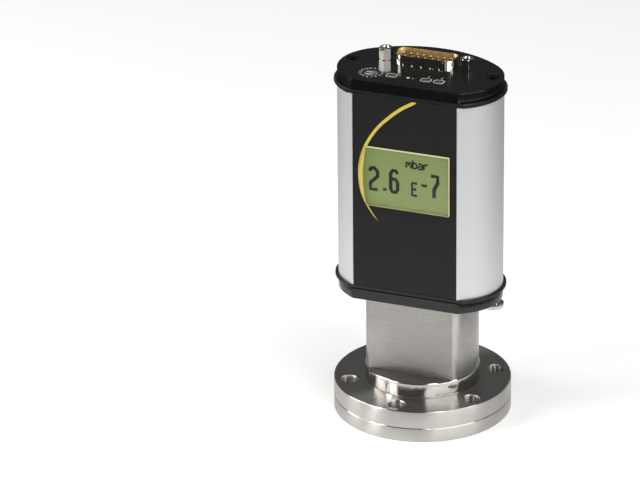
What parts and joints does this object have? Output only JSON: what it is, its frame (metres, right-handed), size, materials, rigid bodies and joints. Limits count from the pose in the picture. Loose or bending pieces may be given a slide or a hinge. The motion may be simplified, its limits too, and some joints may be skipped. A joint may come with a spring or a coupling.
{
  "type": "vacuum sensor",
  "caption": "Vacuum gauge sensor on a bolted CF flange, with a neck, an oval aluminium housing, a display, keys and a D-shaped plug connector on top.",
  "frame": {"origin": "centre of the flange's sealing side, which the sensor stands on", "axes": "+Z along the sensor from the flange to the connector, the display looks towards -Y, +X to the right seen from the display side"},
  "size_m": [0.07, 0.07, 0.148],
  "materials": {
    "flange_steel": "turned stainless steel, milled flats, satin",
    "baffle_steel": "etched stainless sheet",
    "spring_steel": "bright spring steel",
    "magnet_nickel": "nickel-plated magnet",
    "seal_aluminium": "soft metal seal",
    "plate_steel": "turned stainless steel",
    "screw_steel": "bright steel",
    "anode_steel": "bright stainless steel",
    "alumina": "fired alumina",
    "bead_glass": "fused glass",
    "pin_gold": "gold-plated pins",
    "tungsten": "drawn tungsten wire",
    "socket_plastic": "moulded socket plastic",
    "board_green": "solder-masked circuit board",
    "cap_black": "black satin paint on die-cast metal",
    "gasket_rubber": "moulded rubber",
    "housing_aluminium": "blasted and clear anodised extrusion",
    "label_film": "fine-textured printed film",
    "window_clear": "clear plastic pane",
    "lcd_green": "yellow-green liquid crystal display",
    "light_guide": "light guide",
    "spacer_brass": "nickel-plated brass",
    "potting_black": "potted module case",
    "chip_black": "moulded chip package",
    "capacitor_aluminium": "aluminium can",
    "screw_black": "black oxide",
    "earth_nickel": "nickel-plated, straight knurl",
    "shell_chromate": "yellow-chromated steel sheet",
    "connector_plastic": "ochre moulded insulator",
    "jackscrew_nickel": "bright nickel plate",
    "switch_plastic": "moulded switch body",
    "rotor_plastic": "white moulded rotor",
    "key_plastic": "dark moulded key",
    "lamp_plastic": "clear-white light pipe"
  },
  "bodies": {
    "housing": {"flange_body": "flange_steel", "baffle": "baffle_steel", "baffle_clip": "spring_steel", "side_magnets": "magnet_nickel", "seal_ring": "seal_aluminium", "feedthrough_plate": "plate_steel", "plate_screws": "screw_steel", "anode_ring": "anode_steel", "anode_insulator": "alumina", "pin_beads": "bead_glass", "filament_pins": "pin_gold", "filament": "tungsten", "sensor_socket": "socket_plastic", "sensor_board": "board_green", "sensor_header": "socket_plastic", "bottom_cap": "cap_black", "neck_screws": "screw_steel", "bottom_gasket": "gasket_rubber", "top_gasket": "gasket_rubber", "extrusion": "housing_aluminium", "front_label": "label_film", "display_window": "window_clear", "lcd_glass": "lcd_green", "backlight": "light_guide", "display_board": "board_green", "board_spacers": "spacer_brass", "spacer_screws": "screw_steel", "main_board": "board_green", "board_headers": "socket_plastic", "hv_module": "potting_black", "processor": "chip_black", "capacitors": "capacitor_aluminium", "display_header": "socket_plastic", "top_plate": "cap_black", "top_plate_screws": "screw_black", "bottom_cap_screw": "screw_black", "earth_screw": "earth_nickel", "interface_board": "board_green", "connector_shell": "shell_chromate", "connector_body": "connector_plastic", "connector_pins": "pin_gold", "jackscrews": "jackscrew_nickel", "jackscrew_nuts": "jackscrew_nickel", "rotary_switch_body": "switch_plastic", "tact_switches": "switch_plastic", "status_lamp": "lamp_plastic", "ready_lamp": "lamp_plastic"},
    "address_rotor": {"rotary_switch_rotor": "rotor_plastic"},
    "adjust_button": {"adjust_key": "key_plastic"},
    "setpoint_button_1": {"setpoint_key_1": "key_plastic"},
    "setpoint_button_2": {"setpoint_key_2": "key_plastic"}
  },
  "joints": [
    {"name": "address_turn", "type": "hinge", "parent": "housing", "child": "address_rotor", "pos_m": [-0.0169, -0.011, 0.142], "axis": [0, 0, 1], "continuous": true},
    {"name": "adjust_press", "type": "slide", "parent": "housing", "child": "adjust_button", "axis": [0, 0, -1], "range_m": [0, 0.0004], "stiffness_N_per_m": 500},
    {"name": "setpoint_1_press", "type": "slide", "parent": "housing", "child": "setpoint_button_1", "axis": [0, 0, -1], "range_m": [0, 0.0004], "stiffness_N_per_m": 500},
    {"name": "setpoint_2_press", "type": "slide", "parent": "housing", "child": "setpoint_button_2", "axis": [0, 0, -1], "range_m": [0, 0.0004], "stiffness_N_per_m": 500}
  ]
}
